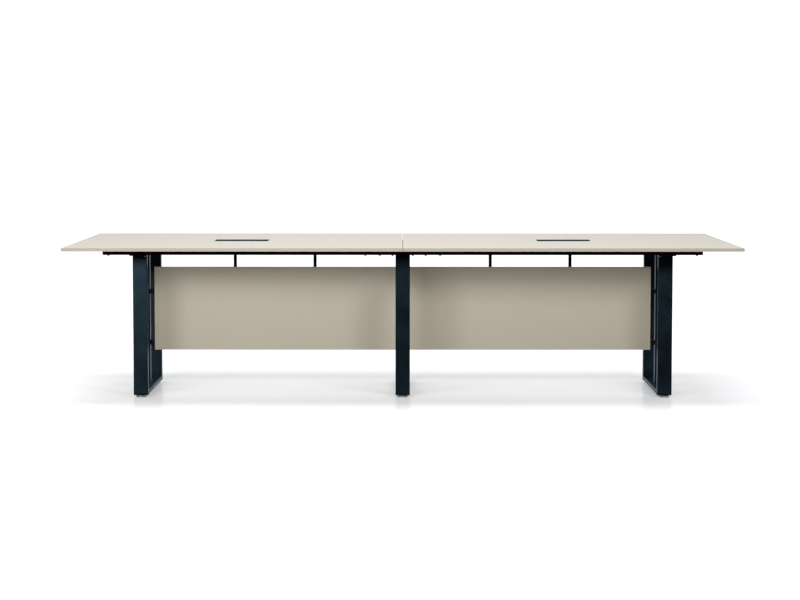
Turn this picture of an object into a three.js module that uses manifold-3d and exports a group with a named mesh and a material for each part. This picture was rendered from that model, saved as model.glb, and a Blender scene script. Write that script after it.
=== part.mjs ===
// Conference table: two board halves on three steel leg frames, with hung modesty panels,
// flush power boxes and levelling feet.
// Millimetres, +Z up. The origin is on the floor under the middle of the top, +X runs along the
// length and -Y is the front.

import * as THREE from 'three';
import { mergeVertices } from 'three/addons/utils/BufferGeometryUtils.js';
import Module from 'manifold-3d';

const wasm = await Module();
wasm.setup();

// Top: two equal halves with a seam between them
const TOP_LENGTH = 3200;
const TOP_DEPTH = 1400;
const TOP_HEIGHT = 745;
const BOARD_THICKNESS = 16;
const TOP_SEAM = 2;

// Leg frames: rectangular loops across the depth, one in the middle and one near each end
const LEG_INSET = 328;
const LEG_SETBACK = 360;
const POST_WIDTH = 70;
const POST_DEPTH = 40;
const FOOT_BAR_HEIGHT = 20;
const UPRIGHT_WIDTH = 25;
const UPRIGHT_DEPTH = 50;
const TOP_PLATE_THICKNESS = 4.5;
const TOP_PLATE_OVERHANG = 14;
const TUBE_WALL = 2;
const TUBE_CORNER = 3;

// Rails: tubes along the length, on top of the leg frames, spliced over the middle leg
const RAIL_INSET = 150;
const RAIL_PROUD = 16;
const RAIL_WIDTH = 60;
const RAIL_HEIGHT = 36.5;
const RAIL_SEAM = 1;
const SLEEVE_LENGTH = 400;
const SLEEVE_WALL = 2.5;
const CAP_THICKNESS = 3;
const CAP_PLUG_LENGTH = 15;

// Feet: a plastic plug in the foot of each post and a levelling foot that screws into it
const FOOT_HEIGHT = 10;
const FOOT_PAD_RADIUS = 26;
const FOOT_PAD_EDGE = 6;
const FOOT_NECK_RADIUS = 11;
const FOOT_CHAMFER = 1;
const STUD_RADIUS = 5;
const STUD_LENGTH = 45;
const PLUG_FLANGE = 10;
const PLUG_LENGTH = 25;

// Modesty panels and what holds them
const PANEL_DROP = 116;
const PANEL_HEIGHT = 415;
const PANEL_THICKNESS = 16;
const HANGER_PITCH = 398;
const HANGER_WIDTH = 16;
const HANGER_THICKNESS = 4;
const HANGER_LAP = 55;
const HANGER_FLANGE = 38;
const HANGER_STANDOFF = 24;
const HANGER_CLEARANCE = 4;
const BEND_INSIDE_RADIUS = 1.5;
const CLIP_LENGTH = 22;
const CLIP_HEIGHT = 22;
const CLIP_LOWEST = 37;
const CLIP_PITCH = 256;
const CLIP_FLANGE_THICKNESS = 4;
const CLIP_FLANGE_DEPTH = 40;
const CLIP_STEM_DEPTH = 12;
const SADDLE_THICKNESS = 3;
const SADDLE_LAP = 40;

// Power boxes: a frame let into the top, a flip-up lid, a tray and a sloping socket module
const FRAME_LENGTH = 264;
const FRAME_WIDTH = 155;
const FRAME_THICKNESS = 5;
const FRAME_BORDER = 13;
const LID_GAP = 0.8;
const LID_TAIL = 2;
const LID_SWING_CLEARANCE = 0.4;
const LID_NOTCH_LENGTH = 60;
const LID_NOTCH_DEPTH = 8;
const TRUNNION_RADIUS = 1.3;
const TRUNNION_LENGTH = 6;
const TRAY_DEPTH = 50;
const TRAY_WALL = 1.5;
const TRAY_MARGIN = 1;
const MODULE_LENGTH = 200;
const MODULE_DEPTH = 50;
const MODULE_HEIGHT = 38;
const MODULE_LEDGE = 10;
const MODULE_LIP = 4;
const GLAND_RADIUS = 9;
const GLAND_LENGTH = 13;
const GLAND_OFFSET = 40;

// Play between pieces: faces that rest on each other, and pieces that slide into each other
const SEAT_GAP = 0.05;
const FIT_GAP = 0.3;

// Facets of half a tube's corner, of a strip's bend and of a full turn
const CORNER_STEPS = 2;
const BEND_STEPS = 3;
const ROUND_STEPS = 20;

// Levels, from the floor up and from the top down
const BOARD_UNDERSIDE = TOP_HEIGHT - BOARD_THICKNESS;
const RAIL_TOP = BOARD_UNDERSIDE - SEAT_GAP;
const RAIL_BOTTOM = RAIL_TOP - RAIL_HEIGHT;
const PLATE_TOP = RAIL_BOTTOM - SEAT_GAP;
const PLATE_BOTTOM = PLATE_TOP - TOP_PLATE_THICKNESS;
const POST_TOP = PLATE_BOTTOM - SEAT_GAP;
const POST_BOTTOM = FOOT_HEIGHT + PLUG_FLANGE + SEAT_GAP;
const FOOT_BAR_TOP = FOOT_HEIGHT + FOOT_BAR_HEIGHT;
const PANEL_TOP = BOARD_UNDERSIDE - PANEL_DROP;
const PANEL_BOTTOM = PANEL_TOP - PANEL_HEIGHT;
const FRAME_BOTTOM = TOP_HEIGHT - FRAME_THICKNESS;
const TRAY_TOP = FRAME_BOTTOM - SEAT_GAP;
const TRAY_BOTTOM = TRAY_TOP - TRAY_DEPTH;

// Places along the length and across the depth
const LEG_SPACING = TOP_LENGTH / 2 - LEG_INSET;
const LEG_FRONT = TOP_DEPTH / 2 - LEG_SETBACK;
const POST_Y = LEG_FRONT - POST_DEPTH / 2;
const RAIL_END = TOP_LENGTH / 2 - RAIL_INSET;
const RAIL_Y = LEG_FRONT + RAIL_PROUD - RAIL_WIDTH / 2;
const PANEL_LENGTH = LEG_SPACING - UPRIGHT_WIDTH - 2 * CLIP_LENGTH;
const PANEL_X = LEG_SPACING / 2;
const BOX_X = TOP_LENGTH / 4;

const SIDES = { left: -1, right: 1 };
const ENDS = { front: -1, rear: 1 };

const FINISHES = {
  board: { color: 0xdedbd0, roughness: 0.5, metalness: 0 },
  powderCoat: { color: 0x1e2a31, roughness: 0.4, metalness: 0 },
  railPaint: { color: 0x0d1013, roughness: 0.5, metalness: 0 },
  blackPlastic: { color: 0x121416, roughness: 0.55, metalness: 0 },
  zincSteel: { color: 0xb4b8bc, roughness: 0.35, metalness: 1 },
  anodised: { color: 0x3d4043, roughness: 0.4, metalness: 1 },
  traySteel: { color: 0x2b2e31, roughness: 0.5, metalness: 0 },
};

const table = new THREE.Group();

// Adds one named piece, with a material of its own, at a place in its group
function addPiece(group, name, geometry, finish, x = 0, y = 0, z = 0) {
  const mesh = new THREE.Mesh(geometry, new THREE.MeshStandardMaterial(FINISHES[finish]));
  mesh.name = name;
  mesh.position.set(x, y, z);
  group.add(mesh);
}

// Turns a closed geometry into a solid that can be cut and joined
function toSolid(geometry) {
  const bare = geometry.clone();
  bare.deleteAttribute('normal');
  bare.deleteAttribute('uv');
  const merged = mergeVertices(bare);
  const vertProperties = new Float32Array(merged.attributes.position.array);
  const triVerts = new Uint32Array(merged.index.array);
  return new wasm.Manifold(new wasm.Mesh({ numProp: 3, vertProperties, triVerts }));
}

// Turns a solid back into a geometry
function toGeometry(solid) {
  const mesh = solid.getMesh();
  const geometry = new THREE.BufferGeometry();
  geometry.setAttribute('position', new THREE.BufferAttribute(mesh.vertProperties, 3));
  geometry.setIndex(new THREE.BufferAttribute(mesh.triVerts, 1));
  geometry.computeVertexNormals();
  return geometry;
}

function join(first, ...others) {
  return toGeometry(others.reduce((solid, other) => solid.add(toSolid(other)), toSolid(first)));
}

function cut(first, ...others) {
  return toGeometry(others.reduce((solid, other) => solid.subtract(toSolid(other)), toSolid(first)));
}

// A box given by its low and high value along each axis
function span([x0, x1], [y0, y1], [z0, z1]) {
  const box = new THREE.BoxGeometry(x1 - x0, y1 - y0, z1 - z0);
  return box.translate((x0 + x1) / 2, (y0 + y1) / 2, (z0 + z1) / 2);
}

// Extrudes a section about the origin. Its x and y become Y and Z along 'x', and X and Z along 'y'.
function extrude(section, length, along) {
  const settings = { depth: length, bevelEnabled: false, curveSegments: CORNER_STEPS };
  const geometry = new THREE.ExtrudeGeometry(section, settings).translate(0, 0, -length / 2);
  const [x, y, z] = [new THREE.Vector3(1, 0, 0), new THREE.Vector3(0, 1, 0), new THREE.Vector3(0, 0, 1)];
  const turn = new THREE.Matrix4();
  if (along === 'x') turn.makeBasis(y, z, x);
  if (along === 'y') turn.makeBasis(x, z, y.clone().negate());
  return geometry.applyMatrix4(turn);
}

function roundedRectangle(path, width, height, corner) {
  const [x, y] = [width / 2, height / 2];
  path.moveTo(-x + corner, -y);
  path.lineTo(x - corner, -y);
  path.absarc(x - corner, -y + corner, corner, -Math.PI / 2, 0);
  path.lineTo(x, y - corner);
  path.absarc(x - corner, y - corner, corner, 0, Math.PI / 2);
  path.lineTo(-x + corner, y);
  path.absarc(-x + corner, y - corner, corner, Math.PI / 2, Math.PI);
  path.lineTo(-x, -y + corner);
  path.absarc(-x + corner, -y + corner, corner, Math.PI, 1.5 * Math.PI);
  path.closePath();
  return path;
}

// Section of a rectangular steel tube, with its bore open at both ends
function tubeSection(width, height, wall) {
  const section = roundedRectangle(new THREE.Shape(), width, height, TUBE_CORNER);
  const boreCorner = Math.max(TUBE_CORNER - wall, TUBE_CORNER / 4);
  section.holes.push(roundedRectangle(new THREE.Path(), width - 2 * wall, height - 2 * wall, boreCorner));
  return section;
}

// A plug that slides into a tube's bore
function boreSection(width, height) {
  const play = 2 * (TUBE_WALL + FIT_GAP);
  return roundedRectangle(new THREE.Shape(), width - play, height - play, TUBE_CORNER / 2);
}

function polygon(points) {
  return new THREE.Shape(points.map(([x, y]) => new THREE.Vector2(x, y)));
}

// Section of a flat bar bent along a line of points, with the same inside radius at each bend
function bentStrip(points, thickness) {
  const radius = BEND_INSIDE_RADIUS + thickness / 2;
  const corners = points.map(([x, y]) => new THREE.Vector2(x, y));
  const centre = [];
  corners.forEach((corner, i) => {
    if (i === 0 || i === corners.length - 1) {
      const other = corners[i === 0 ? 1 : i - 1];
      const along = corner.clone().sub(other).normalize().multiplyScalar(i === 0 ? -1 : 1);
      centre.push({ at: corner, along });
      return;
    }
    const before = corner.clone().sub(corners[i - 1]).normalize();
    const after = corners[i + 1].clone().sub(corner).normalize();
    const turn = before.cross(after) > 0 ? 1 : -1;
    const hub = corner.clone().addScaledVector(before, -radius).addScaledVector(after, radius);
    for (let step = 0; step <= BEND_STEPS; step += 1) {
      const angle = (turn * Math.PI * step) / BEND_STEPS / 2;
      const along = before.clone().rotateAround(new THREE.Vector2(), angle);
      const out = new THREE.Vector2(along.y, -along.x).multiplyScalar(turn * radius);
      centre.push({ at: hub.clone().add(out), along });
    }
  });
  const face = (side) => centre.map(({ at, along }) => (
    at.clone().add(new THREE.Vector2(-along.y, along.x).multiplyScalar((side * thickness) / 2))
  ));
  return new THREE.Shape([...face(-1), ...face(1).reverse()]);
}

// A round bar along X or Z, centred on the origin
function roundBar(radius, length, along) {
  const bar = new THREE.CylinderGeometry(radius, radius, length, ROUND_STEPS);
  return along === 'x' ? bar.rotateZ(Math.PI / 2) : bar.rotateX(Math.PI / 2);
}

// Each half of the top has a stepped opening for its power box
function addTop() {
  const recess = [FRAME_LENGTH / 2 + FIT_GAP, FRAME_WIDTH / 2 + FIT_GAP];
  const opening = [
    FRAME_LENGTH / 2 - FRAME_BORDER + TRAY_MARGIN + TRAY_WALL + TRAY_MARGIN,
    FRAME_WIDTH / 2 - FRAME_BORDER + TRAY_MARGIN + TRAY_WALL + TRAY_MARGIN,
  ];
  for (const [side, sign] of Object.entries(SIDES)) {
    const ends = [sign * TOP_SEAM / 2, sign * TOP_LENGTH / 2].sort((a, b) => a - b);
    const board = span(ends, [-TOP_DEPTH / 2, TOP_DEPTH / 2], [BOARD_UNDERSIDE, TOP_HEIGHT]);
    const x = sign * BOX_X;
    const step = span(
      [x - recess[0], x + recess[0]],
      [-recess[1], recess[1]],
      [FRAME_BOTTOM - SEAT_GAP, TOP_HEIGHT + BOARD_THICKNESS],
    );
    const through = span(
      [x - opening[0], x + opening[0]],
      [-opening[1], opening[1]],
      [BOARD_UNDERSIDE - BOARD_THICKNESS, TOP_HEIGHT],
    );
    addPiece(table, `${side}_top`, cut(board, step, through), 'board');
  }
}

// One leg frame about its own middle line: two posts, a foot bar, an upright and a top plate.
// The plate runs past the posts on the outward side: -1 is left, 1 is right and 0 is neither.
function addLeg(name, outward) {
  const leg = new THREE.Group();
  leg.position.x = outward * LEG_SPACING;
  const postHeight = POST_TOP - POST_BOTTOM;
  const postMiddle = (POST_TOP + POST_BOTTOM) / 2;
  const barLength = 2 * (LEG_FRONT - POST_DEPTH - SEAT_GAP);
  const uprightBottom = FOOT_BAR_TOP + SEAT_GAP;
  const uprightHeight = POST_TOP - uprightBottom;
  for (const [end, sign] of Object.entries(ENDS)) {
    const post = extrude(tubeSection(POST_WIDTH, POST_DEPTH, TUBE_WALL), postHeight, 'z');
    const y = sign * POST_Y;
    addPiece(leg, `${name}_leg_${end}_post`, post, 'powderCoat', 0, y, postMiddle);
    addPiece(leg, `${name}_${end}_plug`, plugGeometry(), 'blackPlastic', 0, y, FOOT_HEIGHT);
    addPiece(leg, `${name}_${end}_foot`, footGeometry(), 'zincSteel', 0, y, 0);
  }
  const bar = extrude(tubeSection(POST_WIDTH, FOOT_BAR_HEIGHT, TUBE_WALL), barLength, 'y');
  addPiece(leg, `${name}_leg_foot_bar`, bar, 'powderCoat', 0, 0, FOOT_HEIGHT + FOOT_BAR_HEIGHT / 2);
  const upright = extrude(tubeSection(UPRIGHT_WIDTH, UPRIGHT_DEPTH, TUBE_WALL), uprightHeight, 'z');
  addPiece(leg, `${name}_leg_upright`, upright, 'powderCoat', 0, 0, uprightBottom + uprightHeight / 2);
  const overhang = outward * TOP_PLATE_OVERHANG;
  const plateEnds = [Math.min(overhang, 0) - POST_WIDTH / 2, Math.max(overhang, 0) + POST_WIDTH / 2];
  const halfDepth = LEG_FRONT + RAIL_PROUD;
  const plate = span(plateEnds, [-halfDepth, halfDepth], [PLATE_BOTTOM, PLATE_TOP]);
  addPiece(leg, `${name}_leg_top_plate`, plate, 'powderCoat');
  table.add(leg);
}

// Plastic plug that closes the foot of a post and guides the stud, from its own lower face up
function plugGeometry() {
  const outline = roundedRectangle(new THREE.Shape(), POST_WIDTH, POST_DEPTH, TUBE_CORNER);
  const flange = extrude(outline, PLUG_FLANGE, 'z').translate(0, 0, PLUG_FLANGE / 2);
  const body = extrude(boreSection(POST_WIDTH, POST_DEPTH), PLUG_FLANGE + PLUG_LENGTH, 'z');
  body.translate(0, 0, (PLUG_FLANGE + PLUG_LENGTH) / 2);
  const hole = roundBar(STUD_RADIUS + FIT_GAP, 4 * (PLUG_FLANGE + PLUG_LENGTH), 'z');
  return cut(join(flange, body), hole);
}

// Levelling foot, turned about its axis: pad, sloping neck and stud
function footGeometry() {
  const padTop = FOOT_HEIGHT - FIT_GAP;
  const studTop = FOOT_HEIGHT + STUD_LENGTH;
  const profile = [
    [0, 0],
    [FOOT_PAD_RADIUS - FOOT_CHAMFER, 0],
    [FOOT_PAD_RADIUS, FOOT_CHAMFER],
    [FOOT_PAD_RADIUS, FOOT_PAD_EDGE],
    [FOOT_NECK_RADIUS, padTop],
    [STUD_RADIUS, padTop],
    [STUD_RADIUS, studTop - FOOT_CHAMFER],
    [STUD_RADIUS - FOOT_CHAMFER, studTop],
    [0, studTop],
  ].map(([radius, height]) => new THREE.Vector2(radius, height));
  return new THREE.LatheGeometry(profile, ROUND_STEPS).rotateX(Math.PI / 2);
}

// Front and rear rails, each in two lengths on an inner sleeve, with a cap in each outer end
function addRails() {
  const z = (RAIL_TOP + RAIL_BOTTOM) / 2;
  const railLength = RAIL_END - CAP_THICKNESS - SEAT_GAP - RAIL_SEAM / 2;
  const play = 2 * (TUBE_WALL + FIT_GAP);
  for (const [end, across] of Object.entries(ENDS)) {
    const y = across * RAIL_Y;
    for (const [side, sign] of Object.entries(SIDES)) {
      const rail = extrude(tubeSection(RAIL_WIDTH, RAIL_HEIGHT, TUBE_WALL), railLength, 'x');
      const middle = sign * (RAIL_SEAM + railLength) / 2;
      addPiece(table, `${end}_${side}_rail`, rail, 'railPaint', middle, y, z);
      const face = sign * (RAIL_END - CAP_THICKNESS / 2);
      addPiece(table, `${end}_${side}_rail_cap`, capGeometry(sign), 'blackPlastic', face, y, z);
    }
    const section = tubeSection(RAIL_WIDTH - play, RAIL_HEIGHT - play, SLEEVE_WALL);
    addPiece(table, `${end}_rail_sleeve`, extrude(section, SLEEVE_LENGTH, 'x'), 'zincSteel', 0, y, z);
  }
}

// Rail cap about the middle of its plate, with its plug towards the middle of the table
function capGeometry(sign) {
  const outline = roundedRectangle(new THREE.Shape(), RAIL_WIDTH, RAIL_HEIGHT, TUBE_CORNER);
  const plate = extrude(outline, CAP_THICKNESS, 'x');
  const plug = extrude(boreSection(RAIL_WIDTH, RAIL_HEIGHT), CAP_THICKNESS + CAP_PLUG_LENGTH, 'x');
  plug.translate((-sign * CAP_PLUG_LENGTH) / 2, 0, 0);
  return join(plate, plug);
}

// Panels between the legs, with two hangers and two outer clips each, and saddles on the middle leg
function addPanels() {
  const lowest = PANEL_BOTTOM + CLIP_LOWEST;
  const clipHeights = { lower: lowest, upper: lowest + CLIP_PITCH };
  const hangerOffsets = { inner: -HANGER_PITCH / 2, outer: HANGER_PITCH / 2 };
  const panelMiddle = PANEL_BOTTOM + PANEL_HEIGHT / 2;
  const endUpright = LEG_SPACING - UPRIGHT_WIDTH / 2;
  for (const [side, sign] of Object.entries(SIDES)) {
    const panel = new THREE.BoxGeometry(PANEL_LENGTH, PANEL_THICKNESS, PANEL_HEIGHT);
    addPiece(table, `${side}_panel`, panel, 'board', sign * PANEL_X, 0, panelMiddle);
    for (const [place, offset] of Object.entries(hangerOffsets)) {
      const x = sign * (PANEL_X + offset);
      addPiece(table, `${side}_panel_${place}_hanger`, hangerGeometry(), 'railPaint', x);
    }
    for (const [level, z] of Object.entries(clipHeights)) {
      const clip = clipGeometry(-sign);
      addPiece(table, `${side}_panel_${level}_clip`, clip, 'blackPlastic', sign * endUpright, 0, z);
    }
  }
  for (const [level, z] of Object.entries(clipHeights)) {
    addPiece(table, `middle_${level}_saddle`, saddleGeometry(), 'railPaint', 0, 0, z);
  }
}

// Bent flat bar: down the back of a panel, cranked behind the power box and flanged under the top
function hangerGeometry() {
  const half = HANGER_THICKNESS / 2;
  const strapY = PANEL_THICKNESS / 2 + SEAT_GAP + half;
  const armZ = TRAY_BOTTOM - HANGER_CLEARANCE - half;
  const riserY = FRAME_WIDTH / 2 - FRAME_BORDER + TRAY_MARGIN + TRAY_WALL + HANGER_STANDOFF;
  const flangeZ = BOARD_UNDERSIDE - SEAT_GAP - half;
  const line = [
    [strapY, PANEL_TOP - HANGER_LAP],
    [strapY, armZ],
    [riserY, armZ],
    [riserY, flangeZ],
    [riserY + HANGER_FLANGE, flangeZ],
  ];
  return extrude(bentStrip(line, HANGER_THICKNESS), HANGER_WIDTH, 'x');
}

// Clip between an upright's side face, at its own origin, and the end of a panel
function clipGeometry(towardsPanel) {
  const [near, step, far] = [SEAT_GAP, CLIP_FLANGE_THICKNESS, CLIP_LENGTH - SEAT_GAP];
  const [flange, stem] = [CLIP_FLANGE_DEPTH / 2, CLIP_STEM_DEPTH / 2];
  const outline = [
    [near, -flange],
    [step, -flange],
    [step, -stem],
    [far, -stem],
    [far, stem],
    [step, stem],
    [step, flange],
    [near, flange],
  ].map(([x, y]) => [towardsPanel * x, y]);
  return extrude(polygon(outline), CLIP_HEIGHT, 'z');
}

// Saddle strap round the back of the middle upright, with a lap behind each panel's inner end
function saddleGeometry() {
  const half = SADDLE_THICKNESS / 2;
  const wallX = UPRIGHT_WIDTH / 2 + FIT_GAP + half;
  const lapY = PANEL_THICKNESS / 2 + SEAT_GAP + half;
  const backY = UPRIGHT_DEPTH / 2 + SEAT_GAP + half;
  const endX = UPRIGHT_WIDTH / 2 + CLIP_LENGTH + SADDLE_LAP;
  const line = [
    [-endX, lapY],
    [-wallX, lapY],
    [-wallX, backY],
    [wallX, backY],
    [wallX, lapY],
    [endX, lapY],
  ];
  return extrude(bentStrip(line, SADDLE_THICKNESS), CLIP_HEIGHT, 'z');
}

// One power box about the middle of its frame's top face
function addPowerBox(side, sign) {
  const box = new THREE.Group();
  box.position.set(sign * BOX_X, 0, TOP_HEIGHT);
  const openX = FRAME_LENGTH / 2 - FRAME_BORDER;
  const openY = FRAME_WIDTH / 2 - FRAME_BORDER;
  const axisZ = -FRAME_THICKNESS / 2;
  const axisY = openY - LID_SWING_CLEARANCE - Math.hypot(LID_TAIL, FRAME_THICKNESS / 2);
  addPiece(box, `${side}_power_frame`, frameGeometry(openX, openY, axisY, axisZ), 'anodised');
  addPiece(box, `${side}_power_lid`, lidGeometry(openX, openY, axisY, axisZ), 'anodised');
  const tray = trayGeometry(openX, openY, -sign);
  addPiece(box, `${side}_power_tray`, tray, 'traySteel', 0, 0, TRAY_TOP - TOP_HEIGHT);
  const moduleZ = TRAY_BOTTOM + TRAY_WALL + SEAT_GAP - TOP_HEIGHT;
  const moduleY = openY + TRAY_MARGIN - FIT_GAP - MODULE_DEPTH;
  addPiece(box, `${side}_socket_module`, moduleGeometry(), 'blackPlastic', 0, moduleY, moduleZ);
  table.add(box);
}

// Flat frame with a blind hole in each short side for the lid's trunnions
function frameGeometry(openX, openY, axisY, axisZ) {
  const ring = roundedRectangle(new THREE.Shape(), FRAME_LENGTH, FRAME_WIDTH, TUBE_CORNER);
  ring.holes.push(roundedRectangle(new THREE.Path(), 2 * openX, 2 * openY, TUBE_CORNER / 4));
  const frame = extrude(ring, FRAME_THICKNESS, 'z').translate(0, 0, -FRAME_THICKNESS / 2);
  const reach = openX - LID_GAP + TRUNNION_LENGTH + FIT_GAP;
  const holes = roundBar(TRUNNION_RADIUS + FIT_GAP, 2 * reach, 'x').translate(0, axisY, axisZ);
  return cut(frame, holes);
}

// Lid with a cable notch in its front edge and a trunnion on each short side
function lidGeometry(openX, openY, axisY, axisZ) {
  const half = openX - LID_GAP;
  const front = LID_GAP - openY;
  const plate = span([-half, half], [front, axisY + LID_TAIL], [-FRAME_THICKNESS, 0]);
  const trunnions = roundBar(TRUNNION_RADIUS, 2 * (half + TRUNNION_LENGTH), 'x').translate(0, axisY, axisZ);
  const notch = span(
    [-LID_NOTCH_LENGTH / 2, LID_NOTCH_LENGTH / 2],
    [front - LID_NOTCH_DEPTH, front + LID_NOTCH_DEPTH],
    [-2 * FRAME_THICKNESS, FRAME_THICKNESS],
  );
  return cut(join(plate, trunnions), notch);
}

// Open tray under the frame, from its rim down, with a gland boss on its rear wall
function trayGeometry(openX, openY, glandSide) {
  const [innerX, innerY] = [openX + TRAY_MARGIN, openY + TRAY_MARGIN];
  const [outerX, outerY] = [innerX + TRAY_WALL, innerY + TRAY_WALL];
  const shell = span([-outerX, outerX], [-outerY, outerY], [-TRAY_DEPTH, 0]);
  const hollow = span([-innerX, innerX], [-innerY, innerY], [TRAY_WALL - TRAY_DEPTH, TRAY_DEPTH]);
  const gland = roundBar(GLAND_RADIUS, GLAND_LENGTH + TRAY_WALL / 2, 'z').rotateX(Math.PI / 2);
  gland.translate(glandSide * GLAND_OFFSET, outerY + (GLAND_LENGTH - TRAY_WALL / 2) / 2, -TRAY_DEPTH / 2);
  return join(cut(shell, hollow), gland);
}

// Wedge with its sockets' face sloping down to the front, from its lower front edge
function moduleGeometry() {
  const outline = [
    [0, 0],
    [MODULE_DEPTH, 0],
    [MODULE_DEPTH, MODULE_HEIGHT],
    [MODULE_DEPTH - MODULE_LEDGE, MODULE_HEIGHT],
    [0, MODULE_LIP],
  ];
  return extrude(polygon(outline), MODULE_LENGTH, 'x');
}

addTop();
addLeg('left', -1);
addLeg('middle', 0);
addLeg('right', 1);
addRails();
addPanels();
for (const [side, sign] of Object.entries(SIDES)) addPowerBox(side, sign);

export default table;
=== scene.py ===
"""Conference table in two halves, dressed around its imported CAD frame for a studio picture.

The boards, steel and plastics of the CAD model stay where they are and get their finishes here. What is too
small for the CAD model, such as bolts, screws, threads and the fittings of the power boxes, is built as meshes
that ride on the same bodies. Everything is in metres; a name that ends in _mm holds millimetres.
"""

import logging
import math
from collections.abc import Iterable, Sequence
from dataclasses import dataclass, field
from enum import Enum
from typing import Any

import bmesh
import bpy
from mathutils import Matrix, Vector


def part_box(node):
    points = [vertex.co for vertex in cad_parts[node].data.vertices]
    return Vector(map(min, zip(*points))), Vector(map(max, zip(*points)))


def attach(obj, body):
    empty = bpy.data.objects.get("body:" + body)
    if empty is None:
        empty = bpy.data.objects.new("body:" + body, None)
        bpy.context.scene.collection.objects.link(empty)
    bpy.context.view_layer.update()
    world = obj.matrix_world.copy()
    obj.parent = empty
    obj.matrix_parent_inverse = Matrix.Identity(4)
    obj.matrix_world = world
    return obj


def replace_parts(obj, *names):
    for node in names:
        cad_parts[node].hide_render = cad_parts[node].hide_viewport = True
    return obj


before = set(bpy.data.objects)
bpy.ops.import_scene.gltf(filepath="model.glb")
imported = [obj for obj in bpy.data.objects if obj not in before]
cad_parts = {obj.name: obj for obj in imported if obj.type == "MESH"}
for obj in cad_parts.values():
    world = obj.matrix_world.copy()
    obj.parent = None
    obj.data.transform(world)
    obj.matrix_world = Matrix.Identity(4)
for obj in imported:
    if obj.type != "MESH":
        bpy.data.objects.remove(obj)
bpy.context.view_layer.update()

LOG = logging.getLogger("conference_table")
MM = 0.001

ROOT_BODY = "table"
SIDES = {"left": -1, "right": 1}
LEGS = ("left", "middle", "right")
ENDS = {"front": -1, "rear": 1}
LEVELS = ("lower", "upper")
PLACES = ("inner", "outer")

# Sockets of the colour mix node, which holds one set of sockets for each kind of value
MIX_LOW = 6
MIX_HIGH = 7
MIX_RESULT = 2

Outline = list[tuple[float, float]]
Section = tuple[Outline, float]
Colour = tuple[float, float, float, float]


def linear(colour: str, share: float = 1.0) -> Colour:
    """Turn an sRGB hex colour into linear RGBA.

    Args:
        colour: six hex digits after a hash sign.
        share: factor on the linear values, for a darker or lighter tone of the same hue.

    Returns:
        Linear red, green, blue and an alpha of one.
    """
    channels = [int(colour[i:i + 2], 16) / 255 for i in (1, 3, 5)]
    light = [c / 12.92 if c <= 0.04045 else ((c + 0.055) / 1.055) ** 2.4 for c in channels]
    return (*(share * c for c in light), 1.0)


def per_metre(size_mm: float) -> float:
    """Turn the size of a pattern's repeat in millimetres into a texture scale."""
    return 1.0 / (size_mm * MM)


def add_node(tree: bpy.types.NodeTree, kind: str, inputs: dict[str | int, Any] | None = None,
             **settings: Any) -> bpy.types.Node:
    """Add a node with its settings, constants and links.

    Args:
        tree: node tree that gets the node.
        kind: Blender's name of the node type.
        inputs: for each input socket a constant, or the output socket that feeds it.
        settings: properties of the node itself.

    Returns:
        The new node.
    """
    node = tree.nodes.new(kind)
    for name, value in settings.items():
        setattr(node, name, value)
    for socket, value in (inputs or {}).items():
        if isinstance(value, bpy.types.NodeSocket):
            tree.links.new(value, node.inputs[socket])
        else:
            node.inputs[socket].default_value = value
    return node


class BoardFace(Enum):
    """Axis that a board's two decorated faces look along."""

    TOP = "Z"
    PANEL = "Y"


@dataclass(frozen=True)
class Finish:
    """A real finish and the shader that shows it.

    Attributes:
        name: common name of the material.
        colour: sRGB hex colour of the clean surface.
        roughness: roughness of the surface between its pattern's marks.
        metallic: one for bare metal, nil for plastics and coatings.
        ior: index of refraction of the outer layer.
        gloss: strength of the surface reflection, one half for a clear smooth layer.
        edge: sRGB hex colour that a metal's reflection takes at a glancing angle.
    """

    name: str
    colour: str
    roughness: float
    metallic: float = 0.0
    ior: float = 1.5
    gloss: float = 0.5
    edge: str = "#FFFFFF"

    def material(self) -> bpy.types.Material:
        """Return the material of this finish, which is made the first time."""
        return bpy.data.materials.get(self.name) or self._make()

    def _make(self) -> bpy.types.Material:
        """Build the material.

        Returns:
            A material with one principled shader and this finish's own pattern.
        """
        material = bpy.data.materials.new(self.name)
        material.use_nodes = True
        material.diffuse_color = linear(self.colour)
        tree = material.node_tree
        tree.nodes.clear()
        shader = add_node(tree, "ShaderNodeBsdfPrincipled", {
            "Base Color": linear(self.colour),
            "Roughness": self.roughness,
            "Metallic": self.metallic,
            "IOR": self.ior,
            "Specular IOR Level": self.gloss,
            "Specular Tint": linear(self.edge),
        })
        self.pattern(tree, shader)
        add_node(tree, "ShaderNodeOutputMaterial", {"Surface": shader.outputs["BSDF"]})
        return material

    def pattern(self, tree: bpy.types.NodeTree, shader: bpy.types.Node) -> None:
        """Draw the surface's own marks; a plain finish has none."""


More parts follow.
